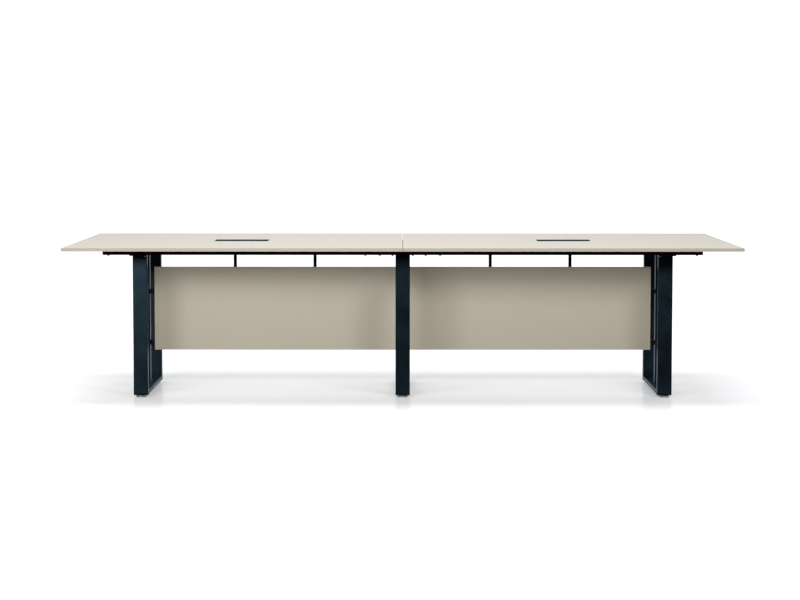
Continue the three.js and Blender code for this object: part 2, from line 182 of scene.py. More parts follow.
@dataclass(frozen=True)
class MelamineBoard(Finish):
    """Melamine-faced particle board: printed paper pressed under resin against a lightly embossed plate.

    To the eye it is an even, satin warm grey with a soft cloud in the print and a fine fleck. The edges carry
    a plastic band of the same colour, a little smoother and without the fleck. The band is drawn darker than the
    face: painted shade on the board's edges.

    Attributes:
        face: axis of the decorated faces; the other faces show the edge band.
        shaded_band_colour: sRGB hex colour of the edge band, set darker than the face as painted shade.
        cloud_mm: width of the print's soft clouds.
        fleck_mm: spacing of the fleck, really about 2 mm and drawn coarser so that it shows.
        emboss_mm: spacing of the pressed grain, really under 1 mm and drawn coarser so that it shows.
    """

    face: BoardFace = BoardFace.TOP
    # Darker than the face colours of the boards: painted shade on the edges
    shaded_band_colour: str = "#A09A8E"
    cloud_mm: float = 260.0
    fleck_mm: float = 9.0
    emboss_mm: float = 5.0

    def pattern(self, tree: bpy.types.NodeTree, shader: bpy.types.Node) -> None:
        """Draw the print, its fleck, the edge band with its painted shade and the pressed grain.

        Args:
            tree: node tree of the material.
            shader: its principled shader.
        """
        place = add_node(tree, "ShaderNodeTexCoord")
        cloud = add_node(tree, "ShaderNodeTexNoise", {
            "Vector": place.outputs["Object"],
            "Scale": per_metre(self.cloud_mm),
            "Detail": 4.0,
            "Roughness": 0.55,
        })
        fleck = add_node(tree, "ShaderNodeTexNoise", {
            "Vector": place.outputs["Object"],
            "Scale": per_metre(self.fleck_mm),
            "Detail": 2.0,
        })
        sharp_fleck = add_node(tree, "ShaderNodeMapRange", {
            "Value": fleck.outputs["Fac"], "From Min": 0.42, "From Max": 0.62, "To Min": 0.0, "To Max": 1.0,
        })
        print_tone = add_node(tree, "ShaderNodeMix", {
            0: cloud.outputs["Fac"], MIX_LOW: linear(self.colour, 0.975), MIX_HIGH: linear(self.colour, 1.025),
        }, data_type="RGBA")
        flecked = add_node(tree, "ShaderNodeMix", {
            0: sharp_fleck.outputs["Result"],
            MIX_LOW: print_tone.outputs[MIX_RESULT],
            MIX_HIGH: linear(self.colour, 0.985),
        }, data_type="RGBA")
        axes = add_node(tree, "ShaderNodeSeparateXYZ", {"Vector": place.outputs["Normal"]})
        facing = add_node(tree, "ShaderNodeMath", {0: axes.outputs[self.face.value]}, operation="ABSOLUTE")
        # Faces that look away from the decorated axis take the band colour, which carries painted shade
        on_shaded_band = add_node(tree, "ShaderNodeMapRange", {
            "Value": facing.outputs["Value"], "From Min": 0.75, "From Max": 0.45, "To Min": 0.0, "To Max": 1.0,
        })
        colour = add_node(tree, "ShaderNodeMix", {
            0: on_shaded_band.outputs["Result"],
            MIX_LOW: flecked.outputs[MIX_RESULT],
            MIX_HIGH: linear(self.shaded_band_colour),
        }, data_type="RGBA")
        gloss = add_node(tree, "ShaderNodeMapRange", {
            "Value": cloud.outputs["Fac"],
            "From Min": 0.3,
            "From Max": 0.7,
            "To Min": self.roughness - 0.03,
            "To Max": self.roughness + 0.03,
        })
        emboss = add_node(tree, "ShaderNodeTexNoise", {
            "Vector": place.outputs["Object"], "Scale": per_metre(self.emboss_mm), "Detail": 1.0,
        })
        grain = add_node(tree, "ShaderNodeBump", {
            "Height": emboss.outputs["Fac"], "Strength": 0.08, "Distance": 0.2 * MM,
        })
        tree.links.new(colour.outputs[MIX_RESULT], shader.inputs["Base Color"])
        tree.links.new(gloss.outputs["Result"], shader.inputs["Roughness"])
        tree.links.new(grain.outputs["Normal"], shader.inputs["Normal"])


@dataclass(frozen=True)
class PowderCoat(Finish):
    """Polyester powder coat, baked on steel: a dark satin skin with a faint orange-peel ripple.

    To the eye the ripple breaks the edges of reflections, and the film is a little glossier where it is thick.

    Attributes:
        ripple_mm: spacing of the orange peel, really about 2 mm and drawn coarser so that it shows.
        film_mm: width of the patches where the film is thicker or thinner.
    """

    ripple_mm: float = 7.0
    film_mm: float = 90.0

    def pattern(self, tree: bpy.types.NodeTree, shader: bpy.types.Node) -> None:
        """Draw the film's patches and the orange-peel ripple.

        Args:
            tree: node tree of the material.
            shader: its principled shader.
        """
        place = add_node(tree, "ShaderNodeTexCoord")
        film = add_node(tree, "ShaderNodeTexNoise", {
            "Vector": place.outputs["Object"], "Scale": per_metre(self.film_mm), "Detail": 3.0,
        })
        ripple = add_node(tree, "ShaderNodeTexNoise", {
            "Vector": place.outputs["Object"], "Scale": per_metre(self.ripple_mm), "Detail": 1.0,
        })
        tone = add_node(tree, "ShaderNodeMix", {
            0: film.outputs["Fac"], MIX_LOW: linear(self.colour, 0.88), MIX_HIGH: linear(self.colour, 1.12),
        }, data_type="RGBA")
        gloss = add_node(tree, "ShaderNodeMapRange", {
            "Value": film.outputs["Fac"],
            "From Min": 0.3,
            "From Max": 0.7,
            "To Min": self.roughness - 0.04,
            "To Max": self.roughness + 0.04,
        })
        peel = add_node(tree, "ShaderNodeBump", {
            "Height": ripple.outputs["Fac"], "Strength": 0.1, "Distance": 0.3 * MM,
        })
        tree.links.new(tone.outputs[MIX_RESULT], shader.inputs["Base Color"])
        tree.links.new(gloss.outputs["Result"], shader.inputs["Roughness"])
        tree.links.new(peel.outputs["Normal"], shader.inputs["Normal"])


@dataclass(frozen=True)
class MouldedPlastic(Finish):
    """Injection-moulded nylon, ABS or polycarbonate: a matt skin that copies a spark-eroded mould.

    To the eye it is an even colour whose highlights break up into a fine sparkle.

    Attributes:
        spark_mm: spacing of the mould's pits, really about 0.3 mm and drawn coarser so that it shows.
    """

    spark_mm: float = 2.5

    def pattern(self, tree: bpy.types.NodeTree, shader: bpy.types.Node) -> None:
        """Draw the pits of the mould.

        Args:
            tree: node tree of the material.
            shader: its principled shader.
        """
        place = add_node(tree, "ShaderNodeTexCoord")
        pits = add_node(tree, "ShaderNodeTexVoronoi", {
            "Vector": place.outputs["Object"], "Scale": per_metre(self.spark_mm),
        })
        tone = add_node(tree, "ShaderNodeMix", {
            0: pits.outputs["Distance"], MIX_LOW: linear(self.colour, 0.92), MIX_HIGH: linear(self.colour, 1.08),
        }, data_type="RGBA")
        skin = add_node(tree, "ShaderNodeBump", {
            "Height": pits.outputs["Distance"], "Strength": 0.15, "Distance": 0.1 * MM,
        })
        tree.links.new(tone.outputs[MIX_RESULT], shader.inputs["Base Color"])
        tree.links.new(skin.outputs["Normal"], shader.inputs["Normal"])


@dataclass(frozen=True)
class PlatedMetal(Finish):
    """Electroplated zinc or nickel on turned or stamped steel: bright, slightly cloudy metal.

    To the eye it is a cool grey mirror that is dulled in patches by the bath and by handling.

    Attributes:
        dull_colour: sRGB hex colour of the dulled patches.
        patch_mm: width of the patches.
    """

    dull_colour: str = "#9A9EA2"
    patch_mm: float = 9.0

    def pattern(self, tree: bpy.types.NodeTree, shader: bpy.types.Node) -> None:
        """Draw the dulled patches.

        Args:
            tree: node tree of the material.
            shader: its principled shader.
        """
        place = add_node(tree, "ShaderNodeTexCoord")
        patches = add_node(tree, "ShaderNodeTexNoise", {
            "Vector": place.outputs["Object"], "Scale": per_metre(self.patch_mm), "Detail": 5.0,
        })
        tone = add_node(tree, "ShaderNodeMix", {
            0: patches.outputs["Fac"], MIX_LOW: linear(self.colour), MIX_HIGH: linear(self.dull_colour),
        }, data_type="RGBA")
        gloss = add_node(tree, "ShaderNodeMapRange", {
            "Value": patches.outputs["Fac"],
            "From Min": 0.3,
            "From Max": 0.7,
            "To Min": self.roughness - 0.08,
            "To Max": self.roughness + 0.1,
        })
        tree.links.new(tone.outputs[MIX_RESULT], shader.inputs["Base Color"])
        tree.links.new(gloss.outputs["Result"], shader.inputs["Roughness"])


@dataclass(frozen=True)
class BrushedAnodised(Finish):
    """Aluminium, brushed along its length and anodised dark: long fine lines under a thin clear oxide.

    To the eye the lines draw highlights out across the brushing and streak the tone a little.

    Attributes:
        line_mm: spacing of the brush lines, really about 0.2 mm and drawn coarser so that it shows.
        streak_mm: length of one line.
    """

    line_mm: float = 2.0
    streak_mm: float = 120.0

    def pattern(self, tree: bpy.types.NodeTree, shader: bpy.types.Node) -> None:
        """Draw the brush lines along X.

        Args:
            tree: node tree of the material.
            shader: its principled shader.
        """
        place = add_node(tree, "ShaderNodeTexCoord")
        stretch = add_node(tree, "ShaderNodeMapping", {
            "Vector": place.outputs["Object"],
            "Scale": (per_metre(self.streak_mm), per_metre(self.line_mm), per_metre(self.line_mm)),
        })
        lines = add_node(tree, "ShaderNodeTexNoise", {
            "Vector": stretch.outputs["Vector"], "Scale": 1.0, "Detail": 3.0,
        })
        tone = add_node(tree, "ShaderNodeMix", {
            0: lines.outputs["Fac"], MIX_LOW: linear(self.colour, 0.85), MIX_HIGH: linear(self.colour, 1.15),
        }, data_type="RGBA")
        gloss = add_node(tree, "ShaderNodeMapRange", {
            "Value": lines.outputs["Fac"],
            "From Min": 0.3,
            "From Max": 0.7,
            "To Min": self.roughness - 0.07,
            "To Max": self.roughness + 0.07,
        })
        brushing = add_node(tree, "ShaderNodeBump", {
            "Height": lines.outputs["Fac"], "Strength": 0.12, "Distance": 0.1 * MM,
        })
        tree.links.new(tone.outputs[MIX_RESULT], shader.inputs["Base Color"])
        tree.links.new(gloss.outputs["Result"], shader.inputs["Roughness"])
        tree.links.new(brushing.outputs["Normal"], shader.inputs["Normal"])


@dataclass(frozen=True)
class LitAcrylic(Finish):
    """Opal acrylic sheet, lit evenly from behind: a matt white that lifts the shadows on it.

    Attributes:
        glow: light that comes through it.
    """

    glow: float = 0.0

    def pattern(self, tree: bpy.types.NodeTree, shader: bpy.types.Node) -> None:
        """Add the glow."""
        shader.inputs["Emission Color"].default_value = linear(self.colour)
        shader.inputs["Emission Strength"].default_value = self.glow


TOP_BOARD = MelamineBoard("melamine_faced_board_top", "#ACA79D", 0.68, gloss=0.2, face=BoardFace.TOP)
# Same board as the top, tinted a little warmer: painted warm light of the shade under the top, not a different decor
PANEL_BOARD = MelamineBoard("melamine_faced_board_panel", "#AFA899", 0.68, gloss=0.2, face=BoardFace.PANEL)
LEG_COAT = PowderCoat("blue_black_powder_coat", "#212E36", 0.34, metallic=1.0, edge="#C4CAD0")
RAIL_COAT = PowderCoat("black_powder_coat", "#020203", 0.5, gloss=0.03)
NYLON = MouldedPlastic("black_moulded_nylon", "#050608", 0.6, ior=1.53, gloss=0.12)
POLYCARBONATE = MouldedPlastic("grey_polycarbonate", "#C9CACB", 0.42, ior=1.58)
ZINC = PlatedMetal("bright_zinc_plate", "#C9CDD2", 0.34, metallic=1.0)
NICKEL = PlatedMetal("nickel_plate", "#D8D3C8", 0.22, metallic=1.0, dull_colour="#B3AEA4")
BLACK_OXIDE = PlatedMetal("black_oxide_steel", "#1A1B1D", 0.45, metallic=1.0, dull_colour="#101113")
ANODISED = BrushedAnodised("dark_anodised_aluminium", "#2E2F34", 0.9, metallic=1.0, edge="#101010")
TRAY_COAT = PowderCoat("electrocoated_sheet_steel", "#17191B", 0.5, gloss=0.35)
FLOOR_PAINT = Finish("white_floor_paint", "#C2C2C2", 0.8, gloss=0.0)
FLOOR_ACRYLIC = LitAcrylic("opal_floor_acrylic", "#E3E4E6", 0.2, gloss=0.004, glow=0.31)
# Dark floor seen only in reflections: painted shade standing in for the unlit floor in front of the table
DARK_FLOOR = Finish("unlit_floor_painted_shade", "#202020", 0.6, gloss=0.1)
WALL_ACRYLIC = LitAcrylic("opal_wall_acrylic", "#FFFFFF", 1.0, gloss=0.0, glow=1.1)


def circle(radius_mm: float, sides: int = 32) -> Outline:
    """Return the points of a circle in metres."""
    return squircle(radius_mm, radius_mm, 2.0, sides)


def squircle(half_x_mm: float, half_y_mm: float, power: float, sides: int = 32) -> Outline:
    """Return the points of a rectangle with rounded corners.

    Args:
        half_x_mm: half the width.
        half_y_mm: half the height.
        power: two gives an ellipse, and a high value gives tight corners.
        sides: number of points, evenly spread by angle.

    Returns:
        Points in metres, anticlockwise.
    """
    points = []
    for i in range(sides):
        angle = 2 * math.pi * i / sides
        along, across = math.cos(angle), math.sin(angle)
        reach = (abs(along / half_x_mm) ** power + abs(across / half_y_mm) ** power) ** (-1 / power)
        points.append((reach * along * MM, reach * across * MM))
    return points


def hexagon(across_flats_mm: float, sides: int = 24) -> Outline:
    """Return the points of a hexagon.

    Args:
        across_flats_mm: spanner size.
        sides: number of points, a multiple of six, so that each corner has one.

    Returns:
        Points in metres, anticlockwise.
    """
    points = []
    for i in range(sides):
        angle = 2 * math.pi * i / sides
        from_flat = (angle + math.pi / 6) % (math.pi / 3) - math.pi / 6
        reach = across_flats_mm / 2 / math.cos(from_flat) * MM
        points.append((reach * math.cos(angle), reach * math.sin(angle)))
    return points


def facing(place: Sequence[float], axis: Sequence[float]) -> Matrix:
    """Return the matrix that puts the origin at a place and turns +Z to an axis."""
    return Matrix.Translation(Vector(place)) @ Vector(axis).to_track_quat("Z", "Y").to_matrix().to_4x4()


class PieceMesh:
    """A piece under construction: closed shells in the table's frame, each with a finish of its own."""

    smooth_below = math.radians(38)

    def __init__(self) -> None:
        """Start with no shells and no finishes."""
        self._mesh = bmesh.new()
        self._finishes: list[Finish] = []

    def loft(self, sections: Sequence[Section], at: Matrix, finish: Finish) -> None:
        """Add a closed shell through a row of outlines.

        Args:
            sections: outlines with their heights along +Z, all with as many points.
            at: place and turn of the shell.
            finish: finish of the whole shell.
        """
        if finish not in self._finishes:
            self._finishes.append(finish)
        rings = [
            [self._mesh.verts.new(at @ Vector((x, y, height))) for x, y in outline]
            for outline, height in sections
        ]
        sides = len(rings[0])
        faces = [self._mesh.faces.new(reversed(rings[0])), self._mesh.faces.new(rings[-1])]
        for low, high in zip(rings, rings[1:]):
            for i in range(sides):
                j = (i + 1) % sides
                faces.append(self._mesh.faces.new((low[i], low[j], high[j], high[i])))
        for face in faces:
            face.material_index = self._finishes.index(finish)

    def build(self, name: str, slot: str, body: str = ROOT_BODY) -> bpy.types.Object:
        """Turn the shells into an object that rides on a body.

        Args:
            name: name of the piece.
            slot: material slot of the record that the piece takes after; not used.
            body: body that carries it.

        Returns:
            The new object.
        """
        mesh = bpy.data.meshes.new(name)
        bmesh.ops.recalc_face_normals(self._mesh, faces=self._mesh.faces)
        self._mesh.to_mesh(mesh)
        self._mesh.free()
        for finish in self._finishes:
            mesh.materials.append(finish.material())
        mesh.polygons.foreach_set("use_smooth", [True] * len(mesh.polygons))
        mesh.set_sharp_from_angle(angle=self.smooth_below)
        piece = bpy.data.objects.new(name, mesh)
        bpy.context.scene.collection.objects.link(piece)
        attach(piece, body)
        LOG.info("built %s on %s", name, body)
        return piece


@dataclass(frozen=True)
class ButtonHead:
    """Head of a domed socket screw.

    Attributes:
        radius_mm: radius of the head.
        height_mm: height over its seat.
        key_mm: size of the hexagon key.
    """

    radius_mm: float
    height_mm: float
    key_mm: float

    def sections(self) -> list[Section]:
        """Return the outlines of the head, from its seat to the floor of its socket."""
        radius, height = self.radius_mm, self.height_mm * MM
        dome = [(1.0, 0.0), (1.0, 0.2), (0.96, 0.45), (0.85, 0.72), (0.66, 0.93), (0.55, 1.0)]
        rows = [(circle(radius * share, 24), height * level) for share, level in dome]
        return [*rows, (hexagon(self.key_mm), height), (hexagon(self.key_mm), 0.35 * height)]


@dataclass(frozen=True)
class HexHead:
    """Head of a hexagon bolt on a washer.

    Attributes:
        spanner_mm: size across the flats.
        height_mm: height over the washer.
        washer_radius_mm: radius of the washer.
        washer_mm: thickness of the washer.
    """

    spanner_mm: float
    height_mm: float
    washer_radius_mm: float
    washer_mm: float

    def sections(self) -> list[Section]:
        """Return the outlines of the washer and head, from the seat up."""
        base, top = self.washer_mm * MM, (self.washer_mm + self.height_mm) * MM
        chamfer = 0.15 * self.height_mm * MM
        return [
            (circle(self.washer_radius_mm, 24), 0.0),
            (circle(self.washer_radius_mm, 24), base),
            (hexagon(self.spanner_mm), base),
            (hexagon(self.spanner_mm), top - chamfer),
            (circle(0.47 * self.spanner_mm, 24), top),
        ]


def dress(nodes: Iterable[str], finish: Finish, edge_mm: float = 0.0) -> None:
    """Give CAD nodes a finish and, where asked for, softly broken edges.

    Args:
        nodes: names of the nodes.
        finish: finish that replaces their plain material.
        edge_mm: width of the broken edges, or nil.
    """
    for name in nodes:
        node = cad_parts[name]
        for slot in node.material_slots:
            slot.material = finish.material()
        if edge_mm:
            weld = node.modifiers.new("weld", "WELD")
            weld.merge_threshold = 0.01 * MM
            edges = node.modifiers.new("broken_edges", "BEVEL")
            edges.width = edge_mm * MM
            edges.segments = 2
            edges.limit_method = "ANGLE"
            edges.angle_limit = math.radians(60)
        LOG.info("dressed %s in %s", name, finish.name)


@dataclass
class Tabletop:
    """The two board halves.

    Attributes:
        edge_mm: radius of the band's broken edges.
    """

    edge_mm: float = 0.8

    def build(self) -> None:
        """Dress both halves."""
        dress((f"{side}_top" for side in SIDES), TOP_BOARD, self.edge_mm)


@dataclass
class LegFrames:
    """Three leg frames with their plugs, levelling feet and the bolts of the end legs' plates.

    Attributes:
        plate_edge_mm: broken edges of the top plates.
        bolt: head of the bolts under the plates' front and rear lips.
        bolt_inset_mm: distance of those bolts from the post's inner side.
        knurl_mm: depth of the grip on the feet's rims.
        thread_pitch_mm: pitch of the feet's studs.
        thread_depth_mm: depth of that thread.
    """

    plate_edge_mm: float = 0.6
    bolt: HexHead = field(default_factory=lambda: HexHead(8.0, 4.0, 6.0, 1.0))
    bolt_inset_mm: float = 8.0
    knurl_mm: float = 0.4
    thread_pitch_mm: float = 2.5
    thread_depth_mm: float = 0.6

    def build(self) -> None:
        """Dress the frames, then build the feet and the bolts."""
        for leg in LEGS:
            tubes = ("front_post", "rear_post", "foot_bar", "upright")
            dress((f"{leg}_leg_{tube}" for tube in tubes), LEG_COAT)
            dress((f"{leg}_leg_top_plate",), LEG_COAT, self.plate_edge_mm)
            dress((f"{leg}_{end}_plug" for end in ENDS), NYLON)
            for end in ENDS:
                self._build_foot(f"{leg}_{end}_foot")
        for side, sign in SIDES.items():
            self._build_bolts(side, sign)

    def _build_foot(self, node: str) -> None:
        """Build a levelling foot in place of its plain solid: a gripped disc with a threaded stud on a glide.

        Args:
            node: name of the foot's node and of its body.
        """
        low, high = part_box(node)
        radius = (high.x - low.x) / 2 / MM
        height = (high.z - low.z) / MM
        neck, stud, shoulder = 11.0, 5.0, 9.7
        rim = self._knurled(radius)
        glide = [
            (circle(radius - 1.0, 48), 0.0),
            (circle(radius - 0.3, 48), 0.7),
            (circle(radius - 0.3, 48), 2.8),
        ]
        rows = [
            (circle(radius - 1.0, 48), 2.8),
            (circle(radius - self.knurl_mm, 48), 3.0),
            (rim, 3.3),
            (rim, 5.6),
            (circle(radius - self.knurl_mm, 48), 6.0),
            (circle(0.5 * (radius + neck) + 0.6, 48), 7.7),
            (circle(neck, 48), shoulder),
            (circle(stud, 48), shoulder),
        ]
        level = shoulder + 0.5 * self.thread_pitch_mm
        while level < height - 1.0 - self.thread_pitch_mm:
            rows.append((circle(stud, 48), level))
            rows.append((circle(stud - self.thread_depth_mm, 48), level + 0.5 * self.thread_pitch_mm))
            level += self.thread_pitch_mm
        rows += [(circle(stud, 48), height - 1.0), (circle(stud - 1.0, 48), height)]
        foot = PieceMesh()
        middle = ((low.x + high.x) / 2, (low.y + high.y) / 2, low.z)
        for shell, finish in ((glide, NYLON), (rows, ZINC)):
            foot.loft([(outline, level * MM) for outline, level in shell], Matrix.Translation(middle), finish)
        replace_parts(foot.build(f"{node}_turned", "zinc_plated_steel", node), node)

    def _knurled(self, radius_mm: float) -> Outline:
        """Return a circle with every second point pulled in for grip."""
        tips, hollows = circle(radius_mm, 48), circle(radius_mm - self.knurl_mm, 48)
        return [tips[i] if i % 2 == 0 else hollows[i] for i in range(48)]

    def _build_bolts(self, side: str, sign: int) -> None:
        """Build the bolts under the lips of one end leg's top plate.

        Args:
            side: which end leg.
            sign: its direction along X.
        """
        plate_low, plate_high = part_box(f"{side}_leg_top_plate")
        post_low, post_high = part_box(f"{side}_leg_front_post")
        inner = post_low.x if sign > 0 else post_high.x
        x = inner + sign * self.bolt_inset_mm * MM
        y = (plate_low.y + post_low.y) / 2
        bolts = PieceMesh()
        for across in ENDS.values():
            bolts.loft(self.bolt.sections(), facing((x, -across * y, plate_low.z), (0, 0, -1)), ZINC)
        bolts.build(f"{side}_leg_plate_bolts", "zinc_plated_steel")


@dataclass
class RailSet:
    """Front and rear rails with their caps, splice sleeves and the bolts under them.

    Attributes:
        bolt: head of a rail bolt.
        bolt_columns_mm: distances of the bolts from the middle of the table.
    """

    bolt: HexHead = field(default_factory=lambda: HexHead(10.0, 4.0, 6.3, 1.2))
    bolt_columns_mm: tuple[float, ...] = (49.0, 111.0, 181.0, 1425.0)

    def build(self) -> None:
        """Dress the rails and build their bolts."""
        for end in ENDS:
            dress((f"{end}_rail_sleeve",), BLACK_OXIDE)
            for side, sign in SIDES.items():
                dress((f"{end}_{side}_rail",), RAIL_COAT)
                dress((f"{end}_{side}_rail_cap",), NYLON)
                self._build_bolts(f"{end}_{side}_rail", sign)

    def _build_bolts(self, rail: str, sign: int) -> None:
        """Build the row of bolts under one length of rail.

        Args:
            rail: name of the rail's node.
            sign: its direction along X.
        """
        low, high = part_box(rail)
        bolts = PieceMesh()
        for column in self.bolt_columns_mm:
            seat = (sign * column * MM, (low.y + high.y) / 2, low.z)
            bolts.loft(self.bolt.sections(), facing(seat, (0, 0, -1)), BLACK_OXIDE)
        bolts.build(f"{rail}_bolts", "rail_powder_coat")


@dataclass
class ModestyPanels:
    """The two hung panels with their hangers, clips and saddles, and the screws of these.

    Attributes:
        edge_mm: radius of the panels' broken edges.
        screw: head of the screws in the board.
        clip_screw: head of the screws that hold a clip to its upright.
        hanger_mm: thickness of a hanger.
        saddle_mm: thickness of a saddle.
        clip_flange_mm: thickness of a clip's flange.
        strap_holes_mm: heights of the strap's screws over its lower end.
        flange_holes_mm: distances of the flange's screws from its rear end.
        lap_holes_mm: distances of the saddle's screws from its ends.
        clip_hole_mm: distance of a clip's screws from its middle.
    """

    edge_mm: float = 0.8
    screw: ButtonHead = field(default_factory=lambda: ButtonHead(4.0, 2.4, 3.0))
    clip_screw: ButtonHead = field(default_factory=lambda: ButtonHead(3.4, 2.0, 2.5))
    hanger_mm: float = 4.0
    saddle_mm: float = 3.0
    clip_flange_mm: float = 4.0
    strap_holes_mm: tuple[float, ...] = (12.0, 40.0)
    flange_holes_mm: tuple[float, ...] = (8.0, 24.0)
    lap_holes_mm: tuple[float, ...] = (9.0, 27.0)
    clip_hole_mm: float = 13.0

    def build(self) -> None:
        """Dress the panels and what holds them, and build the screws."""
        for side, sign in SIDES.items():
            dress((f"{side}_panel",), PANEL_BOARD, self.edge_mm)
            for place in PLACES:
                hanger = f"{side}_panel_{place}_hanger"
                dress((hanger,), RAIL_COAT)
                self._build_hanger_screws(hanger)
            for level in LEVELS:
                clip = f"{side}_panel_{level}_clip"
                dress((clip,), NYLON)
                self._build_clip_screws(clip, sign)
        for level in LEVELS:
            saddle = f"middle_{level}_saddle"
            dress((saddle,), RAIL_COAT)
            self._build_saddle_screws(saddle)

    def _build_hanger_screws(self, hanger: str) -> None:
        """Build the screws in a hanger's strap and in its flange.

        Args:
            hanger: name of the hanger's node.
        """
        low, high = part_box(hanger)
        x = (low.x + high.x) / 2
        screws = PieceMesh()
        for rise in self.strap_holes_mm:
            seat = (x, low.y + self.hanger_mm * MM, low.z + rise * MM)
            screws.loft(self.screw.sections(), facing(seat, (0, 1, 0)), BLACK_OXIDE)
        for inset in self.flange_holes_mm:
            seat = (x, high.y - inset * MM, high.z - self.hanger_mm * MM)
            screws.loft(self.screw.sections(), facing(seat, (0, 0, -1)), BLACK_OXIDE)
        screws.build(f"{hanger}_screws", "rail_powder_coat")

    def _build_clip_screws(self, clip: str, sign: int) -> None:
        """Build the screws that hold a clip to its upright.

        Args:
            clip: name of the clip's node.
            sign: direction of the clip's upright along X.
        """
        low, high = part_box(clip)
        upright = high.x if sign > 0 else low.x
        screws = PieceMesh()
        for across in ENDS.values():
            seat = (
                upright - sign * self.clip_flange_mm * MM,
                across * self.clip_hole_mm * MM,
                (low.z + high.z) / 2,
            )
            screws.loft(self.clip_screw.sections(), facing(seat, (-sign, 0, 0)), BLACK_OXIDE)
        screws.build(f"{clip}_screws", "black_plastic")

    def _build_saddle_screws(self, saddle: str) -> None:
        """Build the screws in a saddle's two laps.

        Args:
            saddle: name of the saddle's node.
        """
        low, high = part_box(saddle)
        screws = PieceMesh()
        for sign in SIDES.values():
            for inset in self.lap_holes_mm:
                seat = (sign * (high.x - inset * MM), low.y + self.saddle_mm * MM, (low.z + high.z) / 2)
                screws.loft(self.screw.sections(), facing(seat, (0, 1, 0)), BLACK_OXIDE)
        screws.build(f"{saddle}_screws", "rail_powder_coat")


@dataclass
class PowerBox:
    """One flush power box: frame, lid, tray and a sloping module with outlets and data ports.

    Attributes:
        side: which half of the top holds it.
        edge_mm: broken edges of the frame and lid.
        lip_mm: height of the module's front edge under its slope.
        ledge_mm: depth of the flat ledge over its slope.
        pitch_mm: spacing of the outlets along the module.
        outlet_mm: half the width of an outlet.
    """

    side: str
    edge_mm: float = 0.4
    lip_mm: float = 4.0
    ledge_mm: float = 10.0
    pitch_mm: float = 46.0
    outlet_mm: float = 21.5

    def build(self) -> None:
        """Dress the box and build what is on its module."""
        dress((f"{self.side}_power_frame", f"{self.side}_power_lid"), ANODISED, self.edge_mm)
        dress((f"{self.side}_power_tray",), TRAY_COAT)
        dress((f"{self.side}_socket_module",), NYLON)
        for number, column in enumerate((-1.5, -0.5, 0.5), start=1):
            self._build_outlet(number, self._on_slope(column))
        self._build_data_plate(self._on_slope(1.5))

    def _on_slope(self, column: float) -> Matrix:
        """Return the place of one fitting on the module's slope.

        Args:
            column: number of pitches from the module's middle.

        Returns:
            A matrix with X along the table, Y up the slope and Z out of it.
        """
        low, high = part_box(f"{self.side}_socket_module")
        foot = Vector((0, low.y, low.z + self.lip_mm * MM))
        head = Vector((0, high.y - self.ledge_mm * MM, high.z))
        along = Vector((1, 0, 0))
        up = (head - foot).normalized()
        turn = Matrix((along, up, along.cross(up))).transposed().to_4x4()
        x = (low.x + high.x) / 2 + column * self.pitch_mm * MM
        return Matrix.Translation((foot + head) / 2 + Vector((x, 0, 0))) @ turn

    def _build_outlet(self, number: int, at: Matrix) -> None:
        """Build one round outlet with its pin sleeves and earth springs.

        Args:
            number: number of the outlet from the left.
            at: its place on the slope.
        """
        half = self.outlet_mm
        outlet = PieceMesh()
        outlet.loft([
            (squircle(half, half, 10, 48), 0.0),
            (squircle(half, half, 10, 48), 4.2 * MM),
            (squircle(half - 0.7, half - 0.7, 10, 48), 5.0 * MM),
            (circle(18.9, 48), 5.0 * MM),
            (circle(18.4, 48), 4.6 * MM),
            (circle(18.2, 48), 1.0 * MM),
        ], at, POLYCARBONATE)
        for sign in SIDES.values():
            sleeve = at @ Matrix.Translation((sign * 9.5 * MM, 0, 1.0 * MM))
            outlet.loft([
                (circle(3.2, 24), 0.0),
                (circle(3.2, 24), 0.5 * MM),
                (circle(2.4, 24), 0.6 * MM),
                (circle(2.4, 24), 0.05 * MM),
            ], sleeve, NYLON)
            spring = at @ Matrix.Translation((0, sign * 16.8 * MM, 1.0 * MM))
            outlet.loft([
                (squircle(2.4, 1.2, 6, 24), 0.0),
                (squircle(2.2, 0.7, 6, 24), 2.6 * MM),
                (squircle(1.6, 0.4, 6, 24), 3.2 * MM),
            ], spring, NICKEL)
        outlet.build(f"{self.side}_outlet_{number}", "black_plastic")

    def _build_data_plate(self, at: Matrix) -> None:
        """Build the plate with two charging ports and two network jacks.

        Args:
            at: its place on the slope.
        """
        half = self.outlet_mm
        plate = PieceMesh()
        plate.loft([
            (squircle(half, half, 10, 48), 0.0),
            (squircle(half, half, 10, 48), 2.4 * MM),
            (squircle(half - 0.7, half - 0.7, 10, 48), 3.0 * MM),
        ], at, POLYCARBONATE)
        ports = [((sign * 9.5, 10.0), (6.9, 3.2)) for sign in SIDES.values()]
        ports += [((sign * 9.5, -7.0), (8.0, 7.0)) for sign in SIDES.values()]
        for (x, y), (half_x, half_y) in ports:
            mouth = at @ Matrix.Translation((x * MM, y * MM, 2.9 * MM))
            plate.loft([
                (squircle(half_x, half_y, 10, 32), 0.0),
                (squircle(half_x, half_y, 10, 32), 1.0 * MM),
                (squircle(half_x - 0.7, half_y - 0.7, 10, 32), 1.0 * MM),
                (squircle(half_x - 0.7, half_y - 0.7, 10, 32), 0.15 * MM),
            ], mouth, NICKEL)
            tongue = mouth @ Matrix.Translation((0, -0.3 * half_y * MM, 0.15 * MM))
            plate.loft([
                (squircle(half_x - 1.5, 0.25 * half_y, 8, 32), 0.0),
                (squircle(half_x - 1.6, 0.22 * half_y, 8, 32), 0.6 * MM),
            ], tongue, NYLON)
        plate.build(f"{self.side}_data_plate", "black_plastic")


